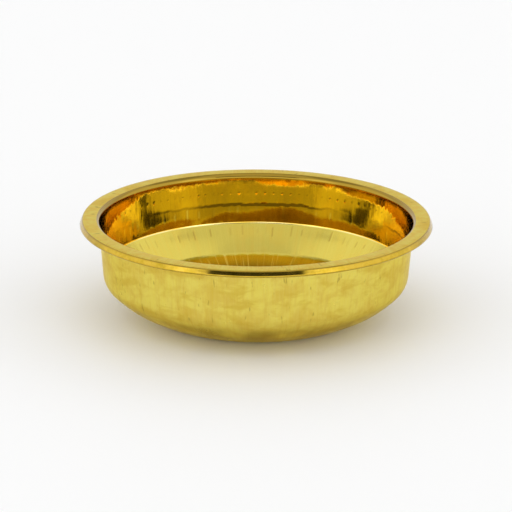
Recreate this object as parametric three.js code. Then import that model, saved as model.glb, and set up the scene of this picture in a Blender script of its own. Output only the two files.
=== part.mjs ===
// A hand-beaten brass urli: a wide, flat-floored bowl with an out-turned flange whose edge is
// rolled over a wire. Millimetres, +Z up, origin at the centre of the flat base's underside.

import * as THREE from 'three';

// Driving dimensions (mm, and degrees where the name says so).
const rimDiameter = 305;          // over the rolled lip
const height = 87;                // base underside to flange top
const flangeWidth = 15.8;         // outside of the wall at the mouth to the lip's outer edge
const sheet = 1.2;                // thickness of the beaten brass
const wallLeanDeg = 4.5;          // how far the wall flares from upright
const flangeBendRadius = 3.6;     // middle of the sheet, wall to flange
const cornerRadius = 15.4;        // middle of the sheet, wall to floor
const cornerStartDeg = 43.5;      // slope of the floor where the corner begins
const floorRadius = 107.4;        // middle of the sheet, the domed part of the floor
const floorStartDeg = 17;         // slope where the dome meets the base bend
const baseBendRadius = 44.4;      // middle of the sheet, flat base to dome
const wireDiameter = 3.2;
const wireClearance = 0.3;        // all round the wire, inside the lip
const wireButtGap = 1.5;          // between the two ends of the wire
const lipSlit = 0.8;              // open slit between the rolled edge and the flange

// How finely the curves are divided.
const turnSteps = 72;
const baseBendSteps = 2;
const floorSteps = 4;
const cornerSteps = 4;
const flangeBendSteps = 3;
const lipSteps = 10;
const wireSides = 12;          // a multiple of two

// Sizes that follow from the ones above.
const wireRadius = wireDiameter / 2;
const lipInnerRadius = wireRadius + wireClearance;
const lipMidRadius = lipInnerRadius + sheet / 2;
const lipOuterRadius = lipInnerRadius + sheet;
const lipCentreRadius = rimDiameter / 2 - lipOuterRadius;
const lipCentreHeight = height - lipOuterRadius;
const mouthRadius = rimDiameter / 2 - flangeWidth - sheet / 2;

const brass = (color, roughness) => new THREE.MeshStandardMaterial({ color, metalness: 1, roughness });

const radians = (degrees) => THREE.MathUtils.degToRad(degrees);

// A run of the sheet's middle line, drawn by heading: 0 is outward along the radius, 90 is up.
class SheetLine {
  constructor(radius, level) {
    this.at = new THREE.Vector2(radius, level);
    this.heading = 0;
    this.stations = [];
    this.mark();
  }

  mark() {
    this.stations.push({ at: this.at.clone(), heading: this.heading });
  }

  straight(length) {
    this.at.x += length * Math.cos(this.heading);
    this.at.y += length * Math.sin(this.heading);
    this.mark();
  }

  // A tangent arc to a new heading; a turn to the left is upward, to the right is downward.
  arcTo(heading, radius, steps) {
    const side = Math.sign(heading - this.heading);
    const centre = this.at.clone().add(leftOf(this.heading).multiplyScalar(side * radius));
    const start = this.heading;
    for (let i = 1; i <= steps; i++) {
      this.heading = start + ((heading - start) * i) / steps;
      this.at.copy(centre).sub(leftOf(this.heading).multiplyScalar(side * radius));
      this.mark();
    }
  }
}

function leftOf(heading) {
  return new THREE.Vector2(-Math.sin(heading), Math.cos(heading));
}

// How far an arc reaches outward and upward between two headings.
function arcReach(from, to, radius) {
  return new THREE.Vector2(radius * (Math.sin(to) - Math.sin(from)), radius * (Math.cos(from) - Math.cos(to)));
}

// The middle line of the whole sheet, from the centre of the base to the free edge of the lip.
function sheetMiddleLine() {
  const lean = radians(90 - wallLeanDeg);
  const cornerStart = radians(cornerStartDeg);
  const floorStart = radians(floorStartDeg);
  const below = arcReach(0, floorStart, baseBendRadius)
    .add(arcReach(floorStart, cornerStart, floorRadius))
    .add(arcReach(cornerStart, lean, cornerRadius));
  const above = arcReach(lean, 0, -flangeBendRadius);
  const wallRise = height - sheet - below.y - above.y;
  const wallFoot = mouthRadius - wallRise / Math.tan(lean);

  const line = new SheetLine(0, sheet / 2);
  line.straight(wallFoot - below.x);
  line.arcTo(floorStart, baseBendRadius, baseBendSteps);
  line.arcTo(cornerStart, floorRadius, floorSteps);
  line.arcTo(lean, cornerRadius, cornerSteps);
  line.straight(wallRise / Math.sin(lean));
  line.arcTo(0, flangeBendRadius, flangeBendSteps);
  line.straight(lipCentreRadius - line.at.x);
  const open = Math.acos((lipOuterRadius - sheet - lipSlit) / lipOuterRadius);
  line.arcTo(open - 2 * Math.PI, lipMidRadius, lipSteps);
  return line.stations;
}

// The beaten bowl: one sheet from base to lip, lathed as a closed outline of both its faces.
function bowlShell() {
  const stations = sheetMiddleLine();
  const face = (side) => stations.map(({ at, heading }) =>
    at.clone().add(leftOf(heading).multiplyScalar((side * sheet) / 2)));
  const outline = [...face(-1), ...face(1).reverse()];
  outline[0].x = 0;
  outline[outline.length - 1].x = 0;
  const geometry = new THREE.LatheGeometry(outline, turnSteps);
  geometry.rotateX(Math.PI / 2);
  const mesh = new THREE.Mesh(geometry, brass(0xd4b85c, 0.22));
  mesh.name = 'bowl_shell';
  return mesh;
}

// The line of the wire's centre: one turn, with a gap between the butted ends.
class WireTurn extends THREE.Curve {
  getPoint(t, target = new THREE.Vector3()) {
    const gap = wireButtGap / lipCentreRadius;
    const angle = gap / 2 + t * (2 * Math.PI - gap);
    return target.set(Math.cos(angle), Math.sin(angle), 0).multiplyScalar(lipCentreRadius);
  }
}

// The wire that the lip is rolled over, a length of round brass bent to a ring.
function rimWire() {
  const section = new THREE.Shape();
  section.absarc(0, 0, wireRadius, 0, 2 * Math.PI);
  const geometry = new THREE.ExtrudeGeometry(section, {
    extrudePath: new WireTurn(),
    steps: turnSteps,
    curveSegments: wireSides / 2,
    bevelEnabled: false,
  });
  const mesh = new THREE.Mesh(geometry, brass(0xb8923a, 0.4));
  mesh.name = 'rim_wire';
  mesh.position.z = lipCentreHeight;
  return mesh;
}

const urli = new THREE.Group();
urli.add(bowlShell(), rimWire());

export default urli;
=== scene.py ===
import bisect
import math
import random
import bpy
import bmesh
from mathutils import Matrix, Vector, noise


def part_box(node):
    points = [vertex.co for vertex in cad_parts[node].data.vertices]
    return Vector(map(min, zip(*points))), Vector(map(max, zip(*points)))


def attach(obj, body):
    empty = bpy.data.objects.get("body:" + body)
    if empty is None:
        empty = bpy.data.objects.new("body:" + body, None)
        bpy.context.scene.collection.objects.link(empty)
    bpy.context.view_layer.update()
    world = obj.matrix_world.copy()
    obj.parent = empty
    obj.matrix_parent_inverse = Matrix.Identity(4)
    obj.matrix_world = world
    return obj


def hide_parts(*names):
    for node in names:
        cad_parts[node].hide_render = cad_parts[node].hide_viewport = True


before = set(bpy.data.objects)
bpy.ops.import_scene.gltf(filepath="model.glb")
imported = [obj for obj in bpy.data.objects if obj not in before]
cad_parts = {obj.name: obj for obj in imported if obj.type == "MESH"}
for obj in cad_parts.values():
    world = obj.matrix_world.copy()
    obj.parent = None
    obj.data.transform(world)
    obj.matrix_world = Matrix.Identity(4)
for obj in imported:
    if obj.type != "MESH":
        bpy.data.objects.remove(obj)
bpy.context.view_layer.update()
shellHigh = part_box("bowl_shell")[1]
wireLow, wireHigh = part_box("rim_wire")
mm = 0.001

# camera
camera = {
    "distance": 2.5,
    "elevation": 17.77,     # degrees above the horizon
    "lens": 201.5,
    "aimBelowRim": 35.5 * mm,
    "roll": 0.33,
}


def placeCamera(c):
    data = bpy.data.cameras.new("camera")
    data.lens = c["lens"]
    data.sensor_width = 36
    data.clip_end = 50
    rise = math.radians(c["elevation"])
    aim = Vector((0, 0, shellHigh.z - c["aimBelowRim"]))
    place = aim + c["distance"] * Vector((0, -math.cos(rise), math.sin(rise)))
    piece = bpy.data.objects.new("camera", data)
    piece.matrix_world = (Matrix.Translation(place) @ Matrix.Rotation(math.pi / 2 - rise, 4, "X")
                          @ Matrix.Rotation(math.radians(c["roll"]), 4, "Z"))
    bpy.context.scene.collection.objects.link(piece)
    bpy.context.scene.camera = piece


placeCamera(camera)
print("camera placed")

# node helpers


def addNode(tree, kind, values=None, **settings):
    made = tree.nodes.new(kind)
    for name, value in settings.items():
        setattr(made, name, value)
    for name, value in (values or {}).items():
        if isinstance(value, bpy.types.NodeSocket):
            tree.links.new(value, made.inputs[name])
        else:
            made.inputs[name].default_value = value
    return made


def sums(tree, operation, a, b=None, c=None, clamp=False):
    made = tree.nodes.new("ShaderNodeMath")
    made.operation = operation
    made.use_clamp = clamp
    for i, value in enumerate((a, b, c)):
        if isinstance(value, bpy.types.NodeSocket):
            tree.links.new(value, made.inputs[i])
        elif value is not None:
            made.inputs[i].default_value = value
    return made.outputs[0]


def vectorSum(tree, operation, *values):
    return addNode(tree, "ShaderNodeVectorMath", dict(enumerate(values)), operation=operation).outputs[0]


def between(tree, value, low, high, toLow=0.0, toHigh=1.0):
    made = addNode(tree, "ShaderNodeMapRange", {"Value": value, "From Min": low, "From Max": high,
                                                "To Min": toLow, "To Max": toHigh},
                   interpolation_type="SMOOTHSTEP")
    return made.outputs["Result"]


def blend(tree, share, a, b):
    made = tree.nodes.new("ShaderNodeMix")
    made.data_type = "RGBA"
    for socket, value in zip((made.inputs[0], made.inputs[6], made.inputs[7]), (share, a, b)):
        if isinstance(value, bpy.types.NodeSocket):
            tree.links.new(value, socket)
        else:
            socket.default_value = value
    return made.outputs[2]


def newGroup(name, inputs, outputs):
    group = bpy.data.node_groups.new(name, "ShaderNodeTree")
    for label, kind, value in inputs:
        socket = group.interface.new_socket(label, in_out="INPUT", socket_type=kind)
        if value is not None:
            socket.default_value = value
    for label, kind in outputs:
        group.interface.new_socket(label, in_out="OUTPUT", socket_type=kind)
    return group, group.nodes.new("NodeGroupInput").outputs, group.nodes.new("NodeGroupOutput").inputs


def useGroup(tree, group, values):
    made = tree.nodes.new("ShaderNodeGroup")
    made.node_tree = group
    for name, value in values.items():
        if isinstance(value, bpy.types.NodeSocket):
            tree.links.new(value, made.inputs[name])
        else:
            made.inputs[name].default_value = value
    return made.outputs


number, direction = "NodeSocketFloat", "NodeSocketVector"


# a place on the bowl without a seam: the direction from the axis, and the run from wall to centre
def makeTurnedPlace():
    group, given, out = newGroup("turnedPlace", [("Reach", number, 0.133)],
                                 [("Around", direction), ("Run", number)])
    place = addNode(group, "ShaderNodeTexCoord").outputs["Object"]
    parts = addNode(group, "ShaderNodeSeparateXYZ", {"Vector": place}).outputs
    level = addNode(group, "ShaderNodeCombineXYZ", {"X": parts[0], "Y": parts[1], "Z": 0.0}).outputs[0]
    radius = addNode(group, "ShaderNodeVectorMath", {0: level}, operation="LENGTH").outputs["Value"]
    unit = vectorSum(group, "NORMALIZE", level)
    around = addNode(group, "ShaderNodeVectorMath", {0: unit, "Scale": given["Reach"]},
                     operation="SCALE").outputs[0]
    run = sums(group, "SUBTRACT", parts[2], radius)
    group.links.new(around, out["Around"])
    group.links.new(run, out["Run"])
    return group


def giveMask(group, wave, given, out):
    low = sums(group, "SUBTRACT", given["Cut"], given["Soft"])
    high = sums(group, "ADD", given["Cut"], given["Soft"])
    group.links.new(between(group, wave, low, high), out["Mask"])
    group.links.new(wave, out["Wave"])


# marks drawn out along the run of the sheet, as a hammer or a cloth leaves them
def makeStreaks():
    group, given, out = newGroup("streaks", [("Around", direction, None), ("Run", number, 0.0),
                                             ("Width", number, 0.003), ("Length", number, 0.03),
                                             ("Cut", number, 0.5), ("Soft", number, 0.2),
                                             ("Shift", number, 0.0)],
                                 [("Mask", number), ("Wave", number)])
    along = sums(group, "DIVIDE", given["Run"], given["Length"])
    scaled = vectorSum(group, "DIVIDE", given["Around"], given["Width"])
    lift = addNode(group, "ShaderNodeCombineXYZ", {"Z": sums(group, "ADD", along, given["Shift"])}).outputs[0]
    place = vectorSum(group, "ADD", scaled, lift)
    wave = addNode(group, "ShaderNodeTexNoise", {"Vector": place, "Scale": 1.0, "Detail": 2.0,
                                                 "Roughness": 0.55})
    giveMask(group, wave.outputs[0], given, out)
    return group


# soft patches of tarnish and of polish
def makeClouds():
    group, given, out = newGroup("clouds", [("Size", number, 0.02), ("Stretch", number, 1.0),
                                            ("Cut", number, 0.5), ("Soft", number, 0.15),
                                            ("Shift", number, 0.0)],
                                 [("Mask", number), ("Wave", number)])
    place = addNode(group, "ShaderNodeTexCoord").outputs["Object"]
    grown = sums(group, "DIVIDE", 1.0, given["Size"])
    upright = sums(group, "DIVIDE", grown, given["Stretch"])
    scale = addNode(group, "ShaderNodeCombineXYZ", {"X": grown, "Y": grown, "Z": upright}).outputs[0]
    moved = addNode(group, "ShaderNodeCombineXYZ", {"X": given["Shift"], "Z": given["Shift"]}).outputs[0]
    at = vectorSum(group, "MULTIPLY_ADD", place, scale, moved)
    wave = addNode(group, "ShaderNodeTexNoise", {"Vector": at, "Scale": 1.0, "Detail": 4.0,
                                                 "Roughness": 0.6, "Distortion": 0.4})
    giveMask(group, wave.outputs[0], given, out)
    return group


turnedPlace = makeTurnedPlace()
streaks = makeStreaks()
clouds = makeClouds()


def newMaterial(name):
    made = bpy.data.materials.new(name)
    made.use_nodes = True
    return made, made.node_tree, made.node_tree.nodes["Principled BSDF"]


# brass: pale where clean, deeper yellow and brown where it has tarnished; deep and bright also paint shade
# and a highlight
brass = {
    "warm": (0.62, 0.40, 0.045, 1),
    "pale": (0.74, 0.64, 0.20, 1),
    "deep": (0.31, 0.20, 0.028, 1),
    "smoked": (0.60, 0.41, 0.045, 1),
    "bright": (0.95, 0.84, 0.42, 1),
}

# the patterns that the finishes share: sizes in metres, Shift only moves a pattern
patterns = {
    "wide": {"Soft": 0.14},
    "fine": {"Cut": 0.6, "Soft": 0.12},
    "hair": {"Width": 0.0006, "Cut": 0.5, "Soft": 0.3, "Shift": 3.0},
    "rays": {"Width": 0.0022, "Length": 0.05, "Cut": 0.62, "Soft": 0.04, "Shift": 7.0},
    "smudge": {"Size": 0.032, "Stretch": 0.42, "Cut": 0.57, "Soft": 0.09, "Shift": 31.0},
    "dash": {"Width": 0.0035, "Length": 0.012, "Cut": 0.69, "Soft": 0.04, "Shift": 41.0},
}

# where the floor's tones change, in millimetres inside the ring: the darker middle and centre are a painted
# reflection of the wall
discSteps = {
    "middle": (-0.3, 0.5),
    "centre": (4.0, 22.0),
    "raysStart": (-1.0, 1.5),
    "raysEnd": (14.0, 40.0),
}


def meshValue(tree, name):
    return addNode(tree, "ShaderNodeAttribute", attribute_name=name).outputs["Fac"]


def brassColor(tree, finish, wide, fine, hair, turned):
    def tint(share, amount, toward):  # blends the color so far toward another
        return blend(tree, sums(tree, "MULTIPLY", share, amount, clamp=True), color, toward)

    color = finish["color"]
    color = tint(wide["Mask"], finish["tarnish"], brass["warm"])
    color = tint(fine["Mask"], finish["streakTone"], brass["warm"])
    color = tint(hair["Mask"], finish["hairTone"], brass["pale"])
    if "smudge" in finish:
        smudge = useGroup(tree, clouds, patterns["smudge"])
        color = tint(smudge["Mask"], finish["smudge"], brass["smoked"])
        dash = useGroup(tree, streaks, {**turned, **patterns["dash"]})
        color = tint(dash["Mask"], finish["dash"], brass["deep"])
    if "rays" in finish:
        inside = meshValue(tree, "disc")
        # the darker middle and centre of the floor: a painted reflection of the wall
        color = blend(tree, between(tree, inside, *discSteps["middle"]), color, finish["middle"])
        color = blend(tree, between(tree, inside, *discSteps["centre"]), color, finish["centre"])
        rays = useGroup(tree, streaks, {**turned, **patterns["rays"]})
        shown = between(tree, inside, *discSteps["raysStart"], 0.0, finish["rays"])
        shown = sums(tree, "MULTIPLY", shown, between(tree, inside, *discSteps["raysEnd"], 1.0, 0.0))
        color = tint(rays["Mask"], shown, brass["pale"])
    # punch marks, plus painted shade and painted dark reflections, tinted toward deep brown
    if "marksAndShadeTone" in finish:
        color = tint(meshValue(tree, "marksAndShade"), finish["marksAndShadeTone"], brass["deep"])
    # ridges tinted paler, plus a painted highlight along the crease
    if "ridge" in finish:
        color = tint(meshValue(tree, "ridge"), finish["ridge"], brass["bright"])
    return color


def brassMaterial(name, finish):
    made, tree, shader = newMaterial(name)
    place = useGroup(tree, turnedPlace, {})
    turned = {"Around": place["Around"], "Run": place["Run"]}
    wide = useGroup(tree, clouds, {**patterns["wide"], "Size": finish["patch"], "Cut": finish["patchCut"],
                                   "Stretch": finish["patchStretch"], "Shift": finish["shift"]})
    fine = useGroup(tree, streaks, {**turned, **patterns["fine"], "Width": finish["streakWidth"],
                                    "Length": finish["streakLength"], "Shift": finish["shift"]})
    hair = useGroup(tree, streaks, {**turned, **patterns["hair"], "Length": finish["hairLength"]})
    tree.links.new(brassColor(tree, finish, wide, fine, hair, turned), shader.inputs["Base Color"])
    plain = finish["rough"] - finish["roughVary"] / 2
    rough = sums(tree, "MULTIPLY_ADD", wide["Wave"], finish["roughVary"], plain)
    rough = sums(tree, "MULTIPLY_ADD", fine["Mask"], finish["streakRough"], rough)
    tree.links.new(rough, shader.inputs["Roughness"])
    bump = addNode(tree, "ShaderNodeBump", {"Strength": 1.0, "Distance": finish["streakDepth"],
                                            "Height": fine["Wave"]})
    bump = addNode(tree, "ShaderNodeBump", {"Strength": 1.0, "Distance": finish["hairDepth"],
                                            "Height": hair["Wave"], "Normal": bump.outputs[0]})
    tree.links.new(bump.outputs[0], shader.inputs["Normal"])
    shader.inputs["Metallic"].default_value = 1.0
    shader.inputs["Specular Tint"].default_value = finish.get("edge", (1, 1, 1, 1))
    return made


finishes = {
    "outsideBrass": {
        "color": (0.76, 0.63, 0.10, 1), "edge": (0.96, 0.88, 0.55, 1),
        "marksAndShadeTone": 0.75, "smudge": 0.6, "dash": 0.5,
        "patch": 0.02, "patchCut": 0.54, "patchStretch": 0.8, "shift": 1.0, "tarnish": 0.6,
        "rough": 0.3, "roughVary": 0.16, "streakRough": 0.05,
        "streakWidth": 0.0028, "streakLength": 0.02, "streakTone": 0.35, "streakDepth": 0.00012,
        "hairLength": 0.02, "hairTone": 0.25, "hairDepth": 0.00001,
    },
    "flangeBrass": {
        "color": (0.61, 0.49, 0.07, 1), "edge": (0.97, 0.91, 0.66, 1),
        "smudge": 0.9, "dash": 0.7,
        "patch": 0.006, "patchCut": 0.52, "patchStretch": 1.0, "shift": 5.0, "tarnish": 1.0,
        "rough": 0.34, "roughVary": 0.24, "streakRough": 0.06,
        "streakWidth": 0.0016, "streakLength": 0.01, "streakTone": 0.8, "streakDepth": 0.00008,
        "hairLength": 0.008, "hairTone": 0.4, "hairDepth": 0.00002,
    },
    "lipBrass": {
        "color": (0.44, 0.29, 0.014, 1),
        "marksAndShadeTone": 0.8,
        "patch": 0.012, "patchCut": 0.5, "patchStretch": 1.0, "shift": 9.0, "tarnish": 0.7,
        "rough": 0.1, "roughVary": 0.06, "streakRough": 0.03,
        "streakWidth": 0.01, "streakLength": 0.004, "streakTone": 0.3, "streakDepth": 0.00004,
        "hairLength": 0.004, "hairTone": 0.1, "hairDepth": 0.000004,
    },
    "wallBrass": {
        "color": (1.0, 0.675, 0.035, 1),
        "marksAndShadeTone": 0.85, "ridge": 0.8,
        "patch": 0.02, "patchCut": 0.55, "patchStretch": 1.5, "shift": 13.0, "tarnish": 0.35,
        "rough": 0.045, "roughVary": 0.03, "streakRough": 0.02,
        "streakWidth": 0.003, "streakLength": 0.022, "streakTone": 0.2, "streakDepth": 0.00005,
        "hairLength": 0.02, "hairTone": 0.1, "hairDepth": 0.000003,
    },
    "floorBrass": {
        "color": (0.54, 0.435, 0.07, 1),
        # middle and centre: a painted reflection of the wall in the floor
        "middle": (0.47, 0.32, 0.015, 1), "centre": (0.27, 0.17, 0.01, 1),
        "rays": 0.5, "marksAndShadeTone": 0.55, "ridge": 0.9,
        "patch": 0.024, "patchCut": 0.58, "patchStretch": 1.0, "shift": 17.0, "tarnish": 0.3,
        "rough": 0.15, "roughVary": 0.06, "streakRough": 0.05,
        "streakWidth": 0.003, "streakLength": 0.02, "streakTone": 0.2, "streakDepth": 0.00008,
        "hairLength": 0.02, "hairTone": 0.15, "hairDepth": 0.000006,
    },
    "hiddenBrass": {
        "color": (0.66, 0.52, 0.09, 1),
        "patch": 0.02, "patchCut": 0.5, "patchStretch": 1.0, "shift": 21.0, "tarnish": 0.8,
        "rough": 0.4, "roughVary": 0.1, "streakRough": 0.05,
        "streakWidth": 0.003, "streakLength": 0.01, "streakTone": 0.2, "streakDepth": 0.00003,
        "hairLength": 0.01, "hairTone": 0.1, "hairDepth": 0.000006,
    },
}
materials = {name: brassMaterial(name, finish) for name, finish in finishes.items()}
print("materials made")

# the beaten sheet: driving sizes, in metres and degrees
sheet = {
    "thick": 1.2 * mm,
    "flangeWidth": 15.8 * mm,
    "wallLean": 4.5,
    "flangeBend": 3.6 * mm,
    "cornerBend": 15.4 * mm,
    "cornerStart": 43.5,
    "floorBend": 107.4 * mm,
    "floorStart": 17,
    "baseBend": 44.4 * mm,
    "lipSlit": 0.8 * mm,
    "drawStep": 0.4 * mm,   # spacing of the points that the outline is drawn with
    "turnSteps": 640,
    "sectors": 16,
}
lipRadius = (wireHigh.z - wireLow.z) / 2 + 0.3 * mm + sheet["thick"]
lipCentre = Vector((shellHigh.x - lipRadius, 0, shellHigh.z - lipRadius))


def arcReach(start, end, radius):
    return Vector((radius * (math.sin(end) - math.sin(start)), 0, radius * (math.cos(start) - math.cos(end))))


class SheetLine:  # the middle of the sheet, drawn by heading: 0 is outward, 90 degrees is up
    def __init__(self, level, step):
        self.at = Vector((0, 0, level))
        self.heading = 0.0
        self.along = 0.0
        self.step = step
        self.points = []
        self.mark()

    def mark(self):
        self.points.append((self.along, self.at.copy(), self.left()))

    def left(self):
        return Vector((-math.sin(self.heading), 0, math.cos(self.heading)))

    def straight(self, length):
        steps = max(1, round(length / self.step))
        ahead = Vector((math.cos(self.heading), 0, math.sin(self.heading)))
        for _ in range(steps):
            self.at += ahead * (length / steps)
            self.along += length / steps
            self.mark()
        return self.along

    def arcTo(self, heading, radius):
        turn = heading - self.heading
        side = math.copysign(1, turn)
        steps = max(2, round(abs(turn) * radius / self.step))
        centre = self.at + self.left() * side * radius
        for _ in range(steps):
            self.heading += turn / steps
            self.along += abs(turn) * radius / steps
            self.at = centre - self.left() * side * radius
            self.mark()
        return self.along

    def find(self, run):  # the place and the left side at a distance along the sheet
        i = max(1, min(bisect.bisect_left(self.points, run, key=lambda p: p[0]), len(self.points) - 1))
        (before, a, leftA), (after, b, leftB) = self.points[i - 1], self.points[i]
        share = (run - before) / (after - before)
        return a.lerp(b, share), leftA.lerp(leftB, share).normalized()


def drawSheet(s):
    lean, corner, floor = (math.radians(a) for a in (90 - s["wallLean"], s["cornerStart"], s["floorStart"]))
    below = (arcReach(0, floor, s["baseBend"]) + arcReach(floor, corner, s["floorBend"])
             + arcReach(corner, lean, s["cornerBend"]))
    above = arcReach(lean, 0, -s["flangeBend"])
    wallRise = shellHigh.z - s["thick"] - below.z - above.z
    mouth = shellHigh.x - s["flangeWidth"] - s["thick"] / 2
    line = SheetLine(s["thick"] / 2, s["drawStep"])
    marks = {}
    marks["base"] = line.straight(mouth - wallRise / math.tan(lean) - below.x)
    marks["floor"] = line.arcTo(floor, s["baseBend"])
    marks["corner"] = line.arcTo(corner, s["floorBend"])
    marks["foot"] = line.arcTo(lean, s["cornerBend"])
    marks["wall"] = line.straight(wallRise / math.sin(lean))
    marks["bend"] = line.arcTo(0, s["flangeBend"])
    marks["flange"] = line.straight(lipCentre.x - line.at.x)
    opening = math.acos((lipRadius - s["thick"] - s["lipSlit"]) / lipRadius)
    marks["lip"] = line.arcTo(opening - 2 * math.pi, lipRadius - s["thick"] / 2)
    return line, marks


sheetLine, marks = drawSheet(sheet)
print("sheet drawn", {k: round(v * 1000, 1) for k, v in marks.items()})


def towards(angle):
    return Vector((math.cos(angle), math.sin(angle), 0))


def unitClamp(value):
    return min(1.0, max(0.0, value))


def smoothStep(value, low, high):
    share = unitClamp((value - low) / (high - low))
    return share * share * (3 - 2 * share)


def window(value, low, high, soft):
    return smoothStep(value, low - soft, low + soft) * (1 - smoothStep(value, high - soft, high + soft))


# inside, a beaten band runs from a crisp crease on the wall down to a ring on the floor
band = {
    "creaseHeight": 41.5 * mm,
    "ringRadius": 114.3 * mm,
    "ringDrop": 0.7 * mm,
    "ringSlope": 0.16,       # how much flatter the floor is just inside the ring
    "liftReach": 24 * mm,    # it comes back to a plain dome's slope here
    "fadeReach": 70 * mm,
    "hollow": -0.5 * mm,     # how far the band is dished; less than nothing bulges it
    "underSwell": 0.3 * mm,  # the same ring, seen faintly from below
    "underReach": 12 * mm,
}


def innerFace(run):
    at, left = sheetLine.find(run)
    return at + left * sheet["thick"] / 2, left


def findRun(low, high, reached):
    for _ in range(40):
        middle = (low + high) / 2
        if reached(middle):
            high = middle
        else:
            low = middle
    return high


marks["ring"] = findRun(marks["floor"], marks["foot"], lambda run: innerFace(run)[0].x > band["ringRadius"])
marks["crease"] = findRun(marks["corner"], marks["wall"],
                          lambda run: innerFace(run)[0].z > band["creaseHeight"])


def bandLift(run, b):  # how far the inner face stands off the plain sheet
    at, left = innerFace(run)
    if run >= marks["crease"]:
        return 0.0
    if run >= marks["ring"]:
        ringAt, ringLeft = innerFace(marks["ring"])
        low = ringAt - ringLeft * b["ringDrop"]
        high = innerFace(marks["crease"])[0]
        across = Vector((low.z - high.z, 0, high.x - low.x)).normalized()
        share = (at - low).dot(high - low) / (high - low).length_squared
        chord = (high - at).dot(across) / left.dot(across)
        return chord - b["hollow"] * math.sin(math.pi * unitClamp(share))
    back = marks["ring"] - run
    near = min(back, b["liftReach"])
    lift = b["ringSlope"] * (near - near * near / (2 * b["liftReach"])) - b["ringDrop"]
    return lift * (1 - smoothStep(back, b["liftReach"], b["fadeReach"]))


# the rolled lip: flattened on its outer face, which leans back, with tight corners below it
lip = {
    "tilt": 26,             # how far the face looks up, in degrees
    "faceReach": 0.84,      # the distance of each flat from the middle of the roll, as a share of its radius
    "rimReach": 1.4,
    "underTurn": 75,        # how far the flat underneath looks down
    "tightness": 14,        # how sharp the corners between the flats are
    "topBlend": (45, 66),   # where the flats give way to the round roll, in degrees
    "lowBlend": (62, 88),
    # painted dark reflection on the upper shoulder of the roll
    "upperLine": (0.6 * mm, 2 * mm, 0.4 * mm),  # a darker line past the flange: start, end, softness
    # painted shade on the underside of the roll
    "underLine": (5.2 * mm, 9 * mm, 0.5 * mm),
    "lineTone": 0.9,
}


def lipSwell(at, k):
    turn = math.atan2(at.z - lipCentre.z, at.x - lipCentre.x)
    weight = 1 - smoothStep(math.degrees(turn), *k["topBlend"])
    weight *= 1 - smoothStep(-math.degrees(turn), *k["lowBlend"])
    if weight <= 0:
        return 0.0
    flats = ((k["tilt"], k["faceReach"]), (0, k["rimReach"]), (-k["underTurn"], 1))
    total = sum((max(0, math.cos(turn - math.radians(looks))) / reach) ** k["tightness"]
                for looks, reach in flats)
    return lipRadius * (total ** (-1 / k["tightness"]) - 1) * weight


# painted dark lines on the lip: a dark reflection on its shoulder and shade underneath
def paintedLipShade(run, k):
    lines = (window(run, marks["flange"] + low, marks["flange"] + high, soft)
             for low, high, soft in (k["upperLine"], k["underLine"]))
    return max(lines) * k["lineTone"]


def spacedRuns(stops, start=0.0):
    runs = [start]
    for end, spacing in stops:
        steps = max(1, round((end - runs[-1]) / spacing))
        first = runs[-1]
        runs += [first + (end - first) * (i + 1) / steps for i in range(steps)]
    return runs


# punched dots in a row round the inner wall
punches = {
    "height": 69.5 * mm,
    "count": 108,
    "depth": 0.2 * mm,
    "reach": 1.1 * mm,
    "tone": 1.6,            # how much darker they are than the wall
    "weakest": 0.2,
    "seed": 37,
}
marks["punches"] = findRun(marks["foot"], marks["wall"], lambda run: innerFace(run)[0].z > punches["height"])
punchRuns = [marks["punches"] + i * punches["reach"] for i in (-1, 0, 1)]

# rows of points along the sheet: each stretch's end and how far apart its rows are
insideRuns = spacedRuns([
    (marks["base"], 6 * mm),
    (marks["ring"] - 12 * mm, 3.2 * mm),
    (marks["ring"], 1.6 * mm),
    (marks["crease"] - 1 * mm, 1.9 * mm),
    (marks["crease"], 1 * mm),
    (marks["crease"] + 1 * mm, 1 * mm),
    (marks["crease"] + 14 * mm, 2.2 * mm),
    (marks["crease"] + 20 * mm, 1 * mm),
    (punchRuns[0], 2.2 * mm),
    (punchRuns[2], punches["reach"]),
    (marks["wall"], 2.1 * mm),
    (marks["bend"], 0.9 * mm),
    (marks["flange"] + 1 * mm, 2.4 * mm),
    (marks["flange"] + 8 * mm, 0.5 * mm),
    (marks["lip"], 1.2 * mm),
])
outsideRuns = spacedRuns([
    (marks["base"], 8 * mm),
    (marks["corner"], 5 * mm),
    (marks["foot"], 2.6 * mm),
    (marks["wall"], 3.6 * mm),
    (marks["bend"], 1.3 * mm),
    (marks["flange"], 3 * mm),
    (marks["lip"], 1.6 * mm),
])


def finishMesh(bm, name, materialNames):
    mesh = bpy.data.meshes.new(name)
    bm.to_mesh(mesh)
    bm.free()
    mesh.polygons.foreach_set("use_smooth", [True] * len(mesh.polygons))
    piece = bpy.data.objects.new(name, mesh)
    bpy.context.scene.collection.objects.link(piece)
    for label in materialNames:
        mesh.materials.append(materials[label])
    return piece


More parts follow.
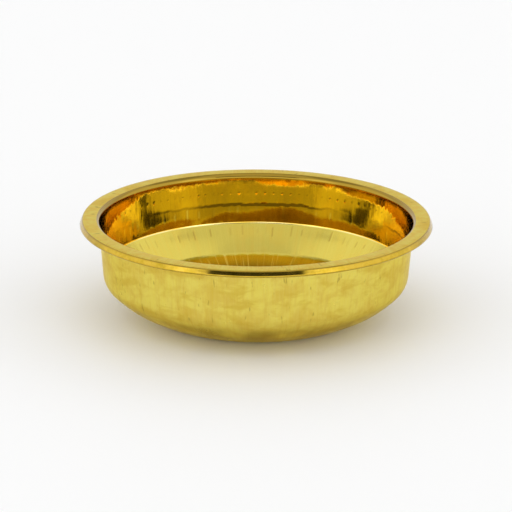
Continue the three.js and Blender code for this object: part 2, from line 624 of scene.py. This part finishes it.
# one row of blows of a cross-peen hammer round the bowl, each a shallow hollow with ridges between
class BlowRow:
    def __init__(self, seed, pitch, reach, low, high, depth, edge=2.0, wander=0.25, floor=0.5, soft=2 * mm):
        self.dice = random.Random(seed)
        self.count = round(2 * math.pi * reach / pitch)
        self.low, self.high, self.depth, self.soft, self.edge = low, high, depth, soft, edge
        self.bounds = [i + self.dice.uniform(-wander, wander) for i in range(self.count)]
        self.weight = [self.dice.uniform(floor, 1.0) for _ in range(self.count)]
        self.slide = [self.dice.uniform(-1, 1) * soft for _ in range(self.count)]

    def hollow(self, angle, along):
        if not self.low - 3 * self.soft < along < self.high + 3 * self.soft:
            return 0.0
        at = (angle / (2 * math.pi)) % 1.0 * self.count
        i = int(at) % self.count
        if at < self.bounds[i]:
            i -= 1
        start = self.bounds[i] - (self.count if i < 0 else 0)
        end = self.bounds[(i + 1) % self.count] + (self.count if (i + 1) % self.count == 0 and i >= 0 else 0)
        if start > end:
            start -= self.count
        share = (at - start) / (end - start) * 2 - 1
        if share > 1:
            share = (at - self.count - start) / (end - start) * 2 - 1
        across = max(0.0, 1 - abs(share) ** self.edge)
        reach = window(along, self.low + self.slide[i], self.high + self.slide[i], self.soft)
        return -self.depth * self.weight[i] * across * reach


# the edge of the floor's darker middle, a painted reflection, wanders blow by blow, in millimetres
scallops = {
    "blow": 0.9,
    "inward": 0.5,
    "wander": 1.2,
    "waves": 7,
}


def scallop(angle):
    share = angle / (2 * math.pi) * insideRows[3].count  # in step with the blows just inside the ring
    blow = abs(math.sin(math.pi * share)) * scallops["blow"]
    return blow - scallops["inward"] + noise.noise(towards(angle) * scallops["waves"]) * scallops["wander"]


# painted shade on the inner wall: the lower row of blows is painted darker, with a ragged dark line where the
# upper row starts, a painted dark reflection
shade = {
    "height": 17 * mm,      # of that line, above the crease
    "ragged": 1.6 * mm,
    "ragWaves": (9, 31),
    "lineReach": 1.1 * mm,
    # strength of the ragged dark line, a painted dark reflection
    "line": 1.8,
    "lineEven": 0.6,        # how strong the line is on average
    "lineVary": 1.6,        # and how much that varies round the bowl
    "lineWaves": 2.6,
    # painted shade
    "below": 0.35,          # from that line down to the crease
    # painted dark reflection at the top of the wall
    "top": 1.1,             # under the flange
    "topReach": 4 * mm,
    "topRagged": 3 * mm,
    # painted dark reflection in the bend
    "bend": 0.55,           # where the wall turns out into the flange
    "bendStart": 1 * mm,    # past the end of the straight wall
}


def paintedWallShade(angle, run):
    if run < marks["crease"]:
        return 0.0
    coarse, close = (noise.noise(towards(angle) * waves) for waves in shade["ragWaves"])
    wander = coarse + 0.5 * close
    if run > marks["crease"] + 2 * shade["height"]:
        start = marks["wall"] - shade["topReach"] + wander * shade["topRagged"]
        return shade["top"] * smoothStep(run, start, start + shade["topReach"] / 2)
    above = run - marks["crease"] - shade["height"] - shade["ragged"] * wander
    vary = noise.noise(towards(angle) * shade["lineWaves"] + Vector((5, 5, 5)))
    depth = max(0.0, shade["lineEven"] - shade["lineVary"] * vary)
    reach = shade["lineReach"]
    line = shade["line"] * depth * (1 - smoothStep(abs(above), 0.4 * reach, 1.6 * reach))
    return max(0.0, line, shade["below"] * (1 - smoothStep(above, -reach, reach)))


# a painted highlight along the edge between the wall and the band, in broken lengths
creaseHighlight = {
    "reach": 0.6 * mm,
    "even": 0.7,            # how bright on average, and how much that varies
    "vary": 1.6,
    "waves": 5,
}


def paintedCreaseHighlight(angle, run):
    if abs(run - marks["crease"]) > creaseHighlight["reach"]:
        return 0.0
    return unitClamp(creaseHighlight["even"] + creaseHighlight["vary"] * noise.noise(towards(angle) * creaseHighlight["waves"]))


# darker blotches outside, where the wall turns under: brown smudges, and painted shade from the shadow
# beneath the bowl that this underside reflects
smudgesAndShade = {
    "tone": 0.8,
    "start": 26 * mm,       # before the corner, along the sheet
    "end": 2 * mm,
    "soft": 6 * mm,
    "even": 0.65,
    "vary": 1.4,
    "waves": (38, 110),     # per metre
}


def outsideShade(at, run):
    if run > marks["foot"]:
        return 0.0
    coarse, close = smudgesAndShade["waves"]
    depth = noise.noise(at * coarse + Vector((2, 8, 4))) + 0.6 * noise.noise(at * close + Vector((6, 1, 3)))
    reach = window(run, marks["corner"] - smudgesAndShade["start"], marks["corner"] - smudgesAndShade["end"], smudgesAndShade["soft"])
    return smudgesAndShade["tone"] * reach * unitClamp(smudgesAndShade["even"] + smudgesAndShade["vary"] * depth)


# the slow unevenness that both faces of the sheet share
uneven = {
    "slow": 0.34 * mm,
    "slowWaves": 14,        # per metre
    "quick": 0.16 * mm,
    "quickWaves": 34,
    "rimShare": 0.35,       # how much of it reaches the flange
    "rimReach": 10 * mm,
}


def bulk(at):
    slow = noise.noise(at * uneven["slowWaves"] + Vector((3, 1, 7)))
    quick = noise.noise(at * uneven["quickWaves"] + Vector((9, 4, 2)))
    return uneven["slow"] * slow + uneven["quick"] * quick


insideRows = [
    BlowRow(seed=1, pitch=13 * mm, reach=0.132, low=marks["crease"] + 1 * mm, high=marks["crease"] + 20 * mm,
            depth=0.06 * mm, edge=5),
    BlowRow(seed=2, pitch=7 * mm, reach=0.133, low=marks["crease"] + 21 * mm, high=marks["wall"] - 3 * mm,
            depth=0.05 * mm, floor=0.1, wander=0.35),
    BlowRow(seed=3, pitch=11 * mm, reach=0.124, low=marks["ring"] + 3 * mm, high=marks["crease"] - 3 * mm,
            depth=0.07 * mm, floor=0.2),
    BlowRow(seed=4, pitch=10 * mm, reach=0.110, low=marks["ring"] - 20 * mm, high=marks["ring"] + 1 * mm,
            depth=0.16 * mm, floor=0.2, wander=0.3),
    BlowRow(seed=9, pitch=12 * mm, reach=0.085, low=marks["ring"] - 48 * mm, high=marks["ring"] - 24 * mm,
            depth=0.12 * mm, floor=0.3),
    BlowRow(seed=10, pitch=14 * mm, reach=0.050, low=marks["base"] - 40 * mm, high=marks["base"] - 6 * mm,
            depth=0.10 * mm, floor=0.3),
]
outsideRows = [
    BlowRow(seed=5, pitch=11 * mm, reach=0.134, low=marks["foot"] + 22 * mm, high=marks["wall"] - 1 * mm,
            depth=0.07 * mm, floor=0.2),
    BlowRow(seed=6, pitch=11 * mm, reach=0.133, low=marks["foot"] - 2 * mm, high=marks["foot"] + 19 * mm,
            depth=0.08 * mm, floor=0.3),
    BlowRow(seed=7, pitch=12 * mm, reach=0.124, low=marks["corner"] - 24 * mm, high=marks["foot"] - 6 * mm,
            depth=0.09 * mm, floor=0.3),
    BlowRow(seed=8, pitch=12 * mm, reach=0.095, low=marks["corner"] - 50 * mm, high=marks["corner"] - 26 * mm,
            depth=0.09 * mm, floor=0.3),
]


# strokes of a narrow punch, drawn down a surface: each lies in one column of the mesh
class StrokeRow:
    def __init__(self, seed, count, low, high, depth, slide):
        dice = random.Random(seed)
        self.depth = depth
        self.strokes = {}
        for i in range(count):
            column = round((i + dice.uniform(-0.4, 0.4)) * sheet["turnSteps"] / count) % sheet["turnSteps"]
            self.strokes[column] = (low + dice.uniform(-1, 1) * slide, high + dice.uniform(-1, 1) * slide,
                                    dice.uniform(0.1, 1.0))

    def weight(self, column, run):
        low, high, weight = self.strokes.get(column, (0, 0, 0))
        return weight if low < run < high else 0.0


floorStrokes = StrokeRow(seed=31, count=75, low=marks["crease"] - 14 * mm, high=marks["crease"] - 4 * mm,
                         depth=0.12 * mm, slide=1.8 * mm)
wallRidges = StrokeRow(seed=33, count=64, low=marks["crease"] + 6 * mm, high=marks["crease"] + 14 * mm,
                       depth=0.05 * mm, slide=1.8 * mm)
dotDice = random.Random(punches["seed"])
dots = {round(i * sheet["turnSteps"] / punches["count"]): dotDice.uniform(punches["weakest"], 1)
        for i in range(punches["count"])}


# a full turn, spun as one sector that is then repeated: a single long spin is slow
def turnAll(bm, steps, sectors):
    sector = 2 * math.pi / sectors
    about = {"cent": (0, 0, 0), "axis": (0, 0, 1), "dvec": (0, 0, 0), "use_merge": False}
    bmesh.ops.spin(bm, geom=bm.verts[:] + bm.edges[:], angle=sector, steps=steps // sectors,
                   use_duplicate=False, **about)
    bmesh.ops.spin(bm, geom=bm.verts[:] + bm.edges[:] + bm.faces[:], angle=2 * math.pi - sector,
                   steps=sectors - 1, use_duplicate=True, **about)
    bmesh.ops.remove_doubles(bm, verts=bm.verts[:], dist=1e-6)


def outlinePoint(run, face):
    at, left = sheetLine.find(run)
    at = at + left * face * sheet["thick"] / 2
    if face > 0 and run < marks["bend"]:
        return at + left * bandLift(run, band)
    if face > 0 and run > marks["flange"]:
        return at + left * lipSwell(at, lip)
    if face < 0 and run < marks["foot"]:
        nearRing = 4 * window(run, marks["ring"], marks["ring"], band["underReach"])  # 1 at the ring itself
        return at - left * band["underSwell"] * nearRing
    return at


def shellOutline(bm, layers):
    outline = []
    for face, runs in ((-1, outsideRuns), (1, insideRuns[::-1])):
        for run in runs:
            vert = bm.verts.new(outlinePoint(run, face))
            vert[layers["along"]] = run
            vert[layers["side"]] = face
            outline.append(vert)
    outline[0].co.x = outline[-1].co.x = 0
    for a, b in zip(outline, outline[1:]):
        bm.edges.new((a, b))


# tones one point of the inner face with punch marks, painted shade and a painted crease highlight, and gives
# back how far it is pushed out
def workInside(vert, layers, angle, run):
    column = round(angle / (2 * math.pi) * sheet["turnSteps"]) % sheet["turnSteps"]
    stroke = floorStrokes.weight(column, run)
    ridge = wallRidges.weight(column, run)
    dot = dots.get(column, 0.0) if abs(run - marks["punches"]) < punches["reach"] / 2 else 0.0
    # the bend and the wall are painted darker here: painted shade and dark reflections
    bend = shade["bend"] if run > marks["wall"] + shade["bendStart"] else 0.0
    vert[layers["marksAndShade"]] = max(stroke, dot * punches["tone"], bend, paintedWallShade(angle, run))
    # the crease carries a painted highlight
    vert[layers["ridge"]] = ridge + paintedCreaseHighlight(angle, run)
    vert[layers["disc"]] = (marks["ring"] - run) / mm + scallop(angle)
    return ridge * wallRidges.depth - stroke * floorStrokes.depth - dot * punches["depth"]


def shellMove(vert, layers):
    angle = math.atan2(vert.co.y, vert.co.x)
    run, face = vert[layers["along"]], vert[layers["side"]]
    shared = bulk(vert.co) * smoothStep(run, marks["base"], marks["corner"])
    if run > marks["bend"]:
        vert[layers["marksAndShade"]] = paintedLipShade(run, lip)
        return Vector((0, 0, shared * uneven["rimShare"]))
    rows = insideRows if face > 0 else outsideRows
    push = sum(row.hollow(angle, run) for row in rows) if run < marks["wall"] else 0.0
    if face > 0:
        push += workInside(vert, layers, angle, run)
    else:
        # outside: brown smudges and painted shade where the wall turns under
        vert[layers["marksAndShade"]] = outsideShade(vert.co, run)
    atRim = smoothStep(run, marks["wall"] - uneven["rimReach"], marks["bend"])
    return vert.normal * (push + shared * face * (1 - (1 - uneven["rimShare"]) * atRim))


# where each inner finish ends along the sheet, from the middle outward
finishEnds = [
    ("floorBrass", marks["crease"]),
    ("wallBrass", marks["wall"] + 1.5 * mm),
    # the bend takes the lip's deeper brass: a painted dark reflection
    ("lipBrass", marks["bend"] - 1 * mm),
    ("flangeBrass", marks["flange"] + 0.6 * mm),
]


def faceFinish(run, inner):
    if not inner:
        return "outsideBrass" if run < marks["bend"] else "hiddenBrass"
    return next((kind for kind, end in finishEnds if run < end), "lipBrass")


def makeShell():
    bm = bmesh.new()
    layers = {name: bm.verts.layers.float.new(name) for name in ("along", "side", "marksAndShade", "disc", "ridge")}
    shellOutline(bm, layers)
    turnAll(bm, sheet["turnSteps"], sheet["sectors"])
    bmesh.ops.recalc_face_normals(bm, faces=bm.faces[:])
    bm.normal_update()
    moves = [shellMove(vert, layers) for vert in bm.verts]
    for vert, move in zip(bm.verts, moves):
        vert.co += move
    names = ["outsideBrass", "flangeBrass", "lipBrass", "wallBrass", "floorBrass", "hiddenBrass"]
    for face in bm.faces:
        run = sum(v[layers["along"]] for v in face.verts) / len(face.verts)
        inner = sum(v[layers["side"]] for v in face.verts) > 0
        face.material_index = names.index(faceFinish(run, inner))
    print("shell faces", len(bm.faces), "triangles", sum(len(f.verts) - 2 for f in bm.faces))
    return finishMesh(bm, "bowlShell", names)


bowlShell = makeShell()
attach(bowlShell, "root")
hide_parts("bowl_shell")
print("shell made")

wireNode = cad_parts["rim_wire"]
wireNode.data.materials.clear()
wireNode.data.materials.append(materials["hiddenBrass"])

# studio: a pale floor, a white surround and a broad soft light above
studio = {
    "floorSize": 30.0,
    "floorColor": (0.93, 0.93, 0.93, 1),
    "floorRough": 0.6,
    "floorShine": 0.2,
    "surround": 1.0,
    "lightPower": 14.0,
    "lightSize": 7.0,
    "lightPlace": (0, 0.2, 4.5),
}

# zones of the surround, each as (start, end, softness) in degrees: turn is counted from the front and
# rise from the horizon; a boost adds to the brightness, a level takes its place
zones = [
    {"turn": (40, 120, 6), "rise": (None, 45, 6), "boost": 0.35},     # tall soft lights at the sides
    {"turn": (None, 60, 6), "rise": (6, 31, 1.5), "boost": 0.6},      # a low soft light in front
    {"turn": (70, None, 6), "rise": (49, 70, 1.5), "boost": -0.4},    # a dimmer ceiling behind
    {"turn": (None, 33, 1.5), "rise": (27, 38.5, 1.5), "level": 0.05},  # the unlit part of the room, in front
]


def makeFloor(s):
    bm = bmesh.new()
    bmesh.ops.create_grid(bm, x_segments=1, y_segments=1, size=s["floorSize"] / 2)
    mesh = bpy.data.meshes.new("floor")
    bm.to_mesh(mesh)
    bm.free()
    floor = bpy.data.objects.new("floor", mesh)
    bpy.context.scene.collection.objects.link(floor)
    paint, _, shader = newMaterial("floorPaint")
    shader.inputs["Base Color"].default_value = s["floorColor"]
    shader.inputs["Roughness"].default_value = s["floorRough"]
    shader.inputs["Specular IOR Level"].default_value = s["floorShine"]
    mesh.materials.append(paint)


def within(tree, angle, start, end, soft):  # 1 between the two angles, easing to 0 past each that is given
    share = 1.0
    for edge, before, after in ((start, 0.0, 1.0), (end, 1.0, 0.0)):
        if edge is not None:
            low, high = math.radians(edge - soft), math.radians(edge + soft)
            share = sums(tree, "MULTIPLY", between(tree, angle, low, high, before, after), share)
    return share


def makeSurround(s):
    world = bpy.data.worlds.new("surround")
    bpy.context.scene.world = world
    world.use_nodes = True
    tree = world.node_tree
    look = addNode(tree, "ShaderNodeTexCoord").outputs["Generated"]
    parts = addNode(tree, "ShaderNodeSeparateXYZ", {"Vector": look}).outputs
    turn = sums(tree, "ABSOLUTE", sums(tree, "ARCTAN2", parts[0], sums(tree, "MULTIPLY", parts[1], -1.0)))
    rise = sums(tree, "ARCSINE", parts[2])
    level = s["surround"]
    for zone in zones:
        share = sums(tree, "MULTIPLY", within(tree, turn, *zone["turn"]), within(tree, rise, *zone["rise"]))
        change = sums(tree, "SUBTRACT", zone["level"], level) if "level" in zone else zone["boost"]
        level = sums(tree, "MULTIPLY_ADD", share, change, level)
    tree.links.new(level, tree.nodes["Background"].inputs["Strength"])
    tree.nodes["Background"].inputs["Color"].default_value = (1, 1, 1, 1)


def makeLamp(s):
    data = bpy.data.lights.new("softbox", "AREA")
    data.shape = "SQUARE"
    data.size = s["lightSize"]
    data.energy = s["lightPower"]
    lamp = bpy.data.objects.new("softbox", data)
    lamp.location = s["lightPlace"]
    bpy.context.scene.collection.objects.link(lamp)


makeFloor(studio)
makeSurround(studio)
makeLamp(studio)
bpy.context.scene.view_settings.view_transform = "Standard"
print("studio made")
